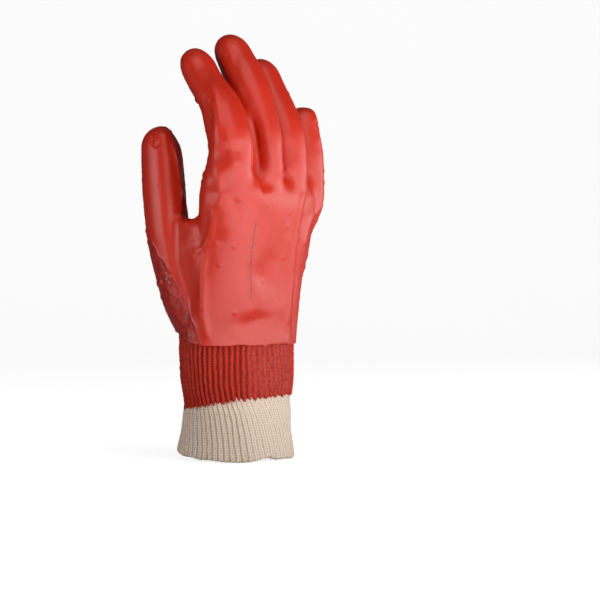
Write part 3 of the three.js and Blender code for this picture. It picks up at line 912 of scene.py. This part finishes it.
FLOOR_GLOW = 0.85
FLOOR_TONES = ((0.44, 0.44, 0.44, 1.0), (0.46, 0.46, 0.46, 1.0))
PVC_LIT = (0.55, 0.02, 0.003, 1.0)
PVC_DEEP = (0.46, 0.012, 0.002, 1.0)
PVC_PALM = (0.4, 0.01, 0.003, 1.0)
PVC_PALM_DEEP = (0.25, 0.004, 0.002, 1.0)
SCUFF_INK = (0.02, 0.015, 0.015, 1.0)
SCUFF_COVER = 0.85
RIB_RED = (0.58, 0.028, 0.009, 1.0)
# The darker reds for the band's grooves and for the gaps between its stitches are painted shade
RIB_GROOVE_PAINTED_SHADE = (0.16, 0.003, 0.002, 1.0)
SOAKED_RED = (0.5, 0.022, 0.009, 1.0)
STITCH_GAP_PAINTED_SHADE = (0.14, 0.003, 0.002, 1.0)
KNIT_LIGHT = (0.82, 0.68, 0.56, 1.0)
# The darker colours for the cuff's grooves and for the gaps between its stitches are painted shade
KNIT_GROOVE_PAINTED_SHADE = (0.4, 0.29, 0.2, 1.0)
KNIT_GAP_PAINTED_SHADE = (0.24, 0.12, 0.05, 1.0)
COTTON_LIGHT = (0.75, 0.68, 0.57, 1.0)
COTTON_DARK = (0.55, 0.47, 0.37, 1.0)
GRAIN_DEPTH = 0.0005  # in metres, as all depths of the bumps
THREAD_DEPTH = 0.0004


def new_material(name):
    """An empty material with its shader."""
    material = bpy.data.materials.new(name)
    material.use_nodes = True
    tree = material.node_tree
    tree.nodes.clear()
    output = tree.nodes.new("ShaderNodeOutputMaterial")
    shader = tree.nodes.new("ShaderNodeBsdfPrincipled")
    tree.links.new(shader.outputs["BSDF"], output.inputs["Surface"])
    return material, tree, shader


def feed(tree, socket, value):
    """Gives an input what it takes: another socket or a plain value."""
    if isinstance(value, bpy.types.NodeSocket):
        tree.links.new(value, socket)
    else:
        socket.default_value = value


def add(tree, kind, links=(), **settings):
    """A node with its settings; links gives what each input takes."""
    node = tree.nodes.new(kind)
    for key, value in settings.items():
        setattr(node, key, value)
    for key, value in dict(links).items():
        feed(tree, node.inputs[key], value)
    return node


def ramp(tree, factor, stops):
    """A color that follows a factor through its stops."""
    node = add(tree, "ShaderNodeValToRGB", {"Fac": factor})
    for element, (position, color) in zip(node.color_ramp.elements, stops):
        element.position = position
        element.color = color
    return node.outputs["Color"]


def mix_color(tree, factor, a, b):
    node = add(tree, "ShaderNodeMix", data_type="RGBA")
    for key, value in ((0, factor), (6, a), (7, b)):
        feed(tree, node.inputs[key], value)
    return node.outputs[2]


def math_node(tree, operation, a, b=0.0, c=0.0):
    node = add(tree, "ShaderNodeMath", operation=operation)
    for socket, value in zip(node.inputs, (a, b, c)):
        feed(tree, socket, value)
    return node.outputs[0]


def noise_node(tree, scale, detail=2.0, vector=None, roughness=0.5):
    links = {"Scale": scale, "Detail": detail, "Roughness": roughness}
    if vector is not None:
        links["Vector"] = vector
    return add(tree, "ShaderNodeTexNoise", links).outputs["Fac"]


def stored(tree, name, output="Fac"):
    """A value that the mesh stores for each point."""
    return add(tree, "ShaderNodeAttribute", attribute_name=name).outputs[output]


def set_bump(tree, shader, height, strength, depth):
    links = {"Strength": strength, "Distance": depth, "Height": height}
    tree.links.new(add(tree, "ShaderNodeBump", links).outputs["Normal"], shader.inputs["Normal"])


def object_place(tree):
    return add(tree, "ShaderNodeTexCoord").outputs["Object"]


def half_cosine(tree, angle):
    """A wave from 0 to 1."""
    return math_node(tree, "MULTIPLY_ADD", math_node(tree, "COSINE", angle), 0.5, 0.5)


def knit_group():
    """Rows of looped stitches: how high the yarn lies, and the gaps between the loops."""
    tree = bpy.data.node_groups.new("knit_stitches", "ShaderNodeTree")
    tree.interface.new_socket("Count", in_out="INPUT", socket_type="NodeSocketVector")
    tree.interface.new_socket("Height", in_out="OUTPUT", socket_type="NodeSocketFloat")
    tree.interface.new_socket("Gap", in_out="OUTPUT", socket_type="NodeSocketFloat")
    taken = tree.nodes.new("NodeGroupInput").outputs["Count"]
    given = tree.nodes.new("NodeGroupOutput")
    parts = add(tree, "ShaderNodeSeparateXYZ", {"Vector": taken}).outputs
    wander = noise_node(tree, 0.8, 3.0, taken)
    round_turn = math_node(tree, "MULTIPLY", parts["X"], FULL_TURN)
    wale = half_cosine(tree, math_node(tree, "MULTIPLY_ADD", wander, 3.0, round_turn))
    row_turn = math_node(tree, "MULTIPLY", parts["Y"], FULL_TURN)
    loop_turn = math_node(tree, "MULTIPLY_ADD", wale, 2.2, wander)
    course = half_cosine(tree, math_node(tree, "ADD", row_turn, loop_turn))
    loop = math_node(tree, "MULTIPLY", wale, math_node(tree, "MULTIPLY_ADD", course, 0.6, 0.4))
    tree.links.new(loop, given.inputs["Height"])
    between = math_node(tree, "SUBTRACT", 1.0, wale)
    low = math_node(tree, "SUBTRACT", 1.0, course)
    uneven = math_node(tree, "MULTIPLY_ADD", noise_node(tree, 1.3, 3.0, taken, 0.7), 2.6, -0.6)
    gap = math_node(tree, "MULTIPLY", math_node(tree, "MULTIPLY_ADD", low, 0.5, 0.5), uneven)
    gap = math_node(tree, "MULTIPLY", gap, between)
    tree.links.new(math_node(tree, "MAXIMUM", gap, 0.0), given.inputs["Gap"])
    return tree


def knit_stitches(tree):
    """The height of the stitches and the gaps between them, from the counts that the mesh stores."""
    node = add(tree, "ShaderNodeGroup", node_tree=KNIT_STITCHES)
    tree.links.new(stored(tree, "pattern", "Vector"), node.inputs["Count"])
    return node.outputs["Height"], node.outputs["Gap"]


def scuff_mask(tree):
    """The scuff on the back of the hand, broken and of uneven width along its line."""
    stretch = add(tree, "ShaderNodeCombineXYZ", {"X": stored(tree, "along")}).outputs["Vector"]
    gaps = noise_node(tree, 0.35, 4.0, stretch, 0.7)
    thin = math_node(tree, "MULTIPLY_ADD", gaps, 2.4, -0.9)
    ink = math_node(tree, "LESS_THAN", math_node(tree, "ABSOLUTE", stored(tree, "scuff")), thin)
    return math_node(tree, "MULTIPLY", ink, SCUFF_COVER)


def pvc_material():
    """The coat: satin on the back of the hand, and darker, wet and grainy on the palm."""
    material, tree, shader = new_material("pvc")
    place = object_place(tree)
    rough = stored(tree, "rough")
    back = mix_color(tree, noise_node(tree, 26.0, 3.0, place), PVC_DEEP, PVC_LIT)
    fine = noise_node(tree, 320.0, 3.0, place)
    palm = ramp(tree, fine, [(0.35, PVC_PALM_DEEP), (0.65, PVC_PALM)])
    color = mix_color(tree, rough, back, palm)
    color = mix_color(tree, scuff_mask(tree), color, SCUFF_INK)
    tree.links.new(color, shader.inputs["Base Color"])
    satin = math_node(tree, "MULTIPLY_ADD", noise_node(tree, 60.0, 2.0, place), 0.1, 0.31)
    wet = math_node(tree, "MULTIPLY_ADD", fine, 0.35, 0.16)
    mixed = add(tree, "ShaderNodeMix", {0: rough, 2: satin, 3: wet})
    tree.links.new(mixed.outputs[0], shader.inputs["Roughness"])
    shader.inputs["Specular IOR Level"].default_value = 0.5
    skin_grain = math_node(tree, "MULTIPLY", noise_node(tree, 900.0, 2.0, place), 0.05)
    palm_grain = math_node(tree, "MULTIPLY", noise_node(tree, 700.0, 4.0, place), rough)
    set_bump(tree, shader, math_node(tree, "ADD", skin_grain, palm_grain), 0.5, GRAIN_DEPTH)
    return material


def band_material():
    """Knit that the coat soaked: painted shade in the grooves and between the stitches, shinier where it
    lies thick.
    """
    material, tree, shader = new_material("dipped_rib")
    wet = stored(tree, "wet")
    height, gap = knit_stitches(tree)
    # painted shade in the grooves between the ribs
    color = ramp(tree, stored(tree, "rib"), [(0.0, RIB_GROOVE_PAINTED_SHADE), (0.4, RIB_RED)])
    color = mix_color(tree, math_node(tree, "MULTIPLY", wet, 0.7), color, SOAKED_RED)
    # painted shade in the gaps between the stitches
    color = mix_color(tree, math_node(tree, "MULTIPLY", gap, 0.9), color, STITCH_GAP_PAINTED_SHADE)
    tree.links.new(color, shader.inputs["Base Color"])
    grain = noise_node(tree, 900.0, 3.0, object_place(tree))
    matt = math_node(tree, "MULTIPLY_ADD", grain, 0.5, 0.4)
    shine = math_node(tree, "MULTIPLY", wet, 0.25)
    tree.links.new(math_node(tree, "SUBTRACT", matt, shine), shader.inputs["Roughness"])
    shader.inputs["Specular IOR Level"].default_value = 0.22
    set_bump(tree, shader, math_node(tree, "ADD", height, grain), 0.7, GRAIN_DEPTH)
    return material


def cuff_material():
    """Bare cream knit with threads, with painted shade in the grooves and between the stitches."""
    material, tree, shader = new_material("bare_knit")
    height, gap = knit_stitches(tree)
    # painted shade in the grooves between the ribs
    color = ramp(tree, stored(tree, "rib"), [(0.0, KNIT_GROOVE_PAINTED_SHADE), (0.45, KNIT_LIGHT)])
    # painted shade in the gaps between the stitches
    color = mix_color(tree, math_node(tree, "MULTIPLY", gap, 0.8), color, KNIT_GAP_PAINTED_SHADE)
    tree.links.new(color, shader.inputs["Base Color"])
    shader.inputs["Roughness"].default_value = 0.92
    shader.inputs["Specular IOR Level"].default_value = 0.2
    thread = noise_node(tree, 1500.0, 3.0, object_place(tree))
    set_bump(tree, shader, math_node(tree, "MULTIPLY_ADD", thread, 0.4, height), 0.7, THREAD_DEPTH)
    return material


def cotton_material():
    """The napped cotton inside."""
    material, tree, shader = new_material("cotton")
    fuzz = noise_node(tree, 700.0, 4.0, object_place(tree))
    color = ramp(tree, fuzz, [(0.3, COTTON_DARK), (0.7, COTTON_LIGHT)])
    tree.links.new(color, shader.inputs["Base Color"])
    shader.inputs["Roughness"].default_value = 0.95
    set_bump(tree, shader, fuzz, 0.6, THREAD_DEPTH)
    return material


def floor_material():
    """A pale floor that shows white and lights the glove only by what falls on it."""
    material, tree, shader = new_material("floor")
    tone = noise_node(tree, 3.0, 2.0, object_place(tree))
    color = ramp(tree, tone, [(0.3, FLOOR_TONES[0]), (0.7, FLOOR_TONES[1])])
    tree.links.new(color, shader.inputs["Base Color"])
    shader.inputs["Roughness"].default_value = 0.8
    shader.inputs["Emission Color"].default_value = (1.0, 1.0, 1.0, 1.0)
    seen = add(tree, "ShaderNodeLightPath").outputs["Is Camera Ray"]
    tree.links.new(math_node(tree, "MULTIPLY", seen, FLOOR_GLOW), shader.inputs["Emission Strength"])
    return material


KNIT_STITCHES = knit_group()
MATERIALS = {
    "pvc": pvc_material(),
    "dipped_rib": band_material(),
    "bare_knit": cuff_material(),
    "cotton": cotton_material(),
    "floor": floor_material(),
}

build_coat()
build_liner()
tube("dipped_band", band_surface, RIB_COUNT * 10, 88, "dipped_rib", "wrist_band")
tube("knit_wrist", cuff_surface, RIB_COUNT * 8, 140, "bare_knit", "knit_cuff")

# Floor, light and camera

FLOOR_SIZE = 8.0
BACK_WALL = 1.6  # how far behind the glove the floor starts to rise
BEND_RADIUS = 1.0
BEND_STEPS = 12
WALL_TOP = 7.0
LIT_HEIGHT = 0.15  # the panels face this height of the glove

# Light panels: where each is to the right, up and toward the camera, its size, and its power in watts
PANELS = {
    "table": {"right": 0.3, "up": -0.0016, "back": 0.33, "size": (0.9, 0.5), "power": 3.9, "level": True},
    "front_right": {"right": 0.85, "up": 0.2, "back": 0.7, "size": (1.1, 0.4), "power": 4.2},
    "right": {"right": 1.0, "up": 0.22, "back": -0.25, "size": (1.2, 0.44), "power": 4.2},
    "above": {"right": 0.8, "up": 1.5, "back": 0.9, "size": (1.7, 1.7), "power": 13.5},
    "left": {"right": -0.74, "up": 0.18, "back": 0.68, "size": (0.8, 0.55), "power": 4.3},
}
WORLD_LIGHT = 0.12
FARTHEST_SEEN = 50.0


def build_floor():
    """A floor that curves up into a backdrop behind the glove."""
    right = Vector(RIGHT)
    away = -Vector((BACK[0], BACK[1], 0)).normalized()
    profile = [(-FLOOR_SIZE, 0.0), (BACK_WALL, 0.0)]
    for a in np.linspace(0.1, math.pi / 2, BEND_STEPS):
        profile.append((BACK_WALL + BEND_RADIUS * math.sin(a), BEND_RADIUS * (1 - math.cos(a))))
    profile.append((BACK_WALL + BEND_RADIUS, WALL_TOP))
    points = []
    for along, up in profile:
        for side in (-FLOOR_SIZE, FLOOR_SIZE):
            points.append((away * along + right * side + Vector((0, 0, up))) / MM)
    faces = [[2 * i, 2 * i + 1, 2 * i + 3, 2 * i + 2] for i in range(len(profile) - 1)]
    obj = make_object("floor", np.array([p[:] for p in points]), faces)
    obj.data.materials.append(MATERIALS["floor"])


def area_light(name, right, up, back, size, power, level=False):
    """A light panel that the camera doesn't see. It faces the glove, or up if it lies level."""
    light = bpy.data.lights.new(name, "AREA")
    light.shape = "RECTANGLE"
    light.size, light.size_y = size
    light.energy = power
    obj = bpy.data.objects.new(name, light)
    bpy.context.scene.collection.objects.link(obj)
    position = Vector(RIGHT * right + UP * up + BACK * back)
    target = position + Vector((0, 0, 1)) if level else Vector((0, 0, LIT_HEIGHT))
    obj.location = position
    obj.rotation_euler = (position - target).to_track_quat("Z", "Y").to_euler()
    obj.visible_camera = False


def light_world():
    world = bpy.data.worlds.new("world")
    world.use_nodes = True
    background = world.node_tree.nodes["Background"]
    background.inputs["Color"].default_value = (1, 1, 1, 1)
    background.inputs["Strength"].default_value = WORLD_LIGHT
    bpy.context.scene.world = world
    bpy.context.scene.view_settings.view_transform = "Standard"


def place_camera():
    """The camera at the eye of the view."""
    data = bpy.data.cameras.new("camera")
    data.lens = LENS
    data.sensor_width = SENSOR
    data.clip_end = FARTHEST_SEEN
    camera = bpy.data.objects.new("camera", data)
    bpy.context.scene.collection.objects.link(camera)
    pose = Matrix.Identity(4)
    for column, axis in enumerate((RIGHT, UP, BACK, EYE * MM)):
        for row in range(3):
            pose[row][column] = axis[row]
    camera.matrix_world = pose
    bpy.context.scene.camera = camera


build_floor()
for name, panel in PANELS.items():
    area_light(name, **panel)
light_world()
place_camera()
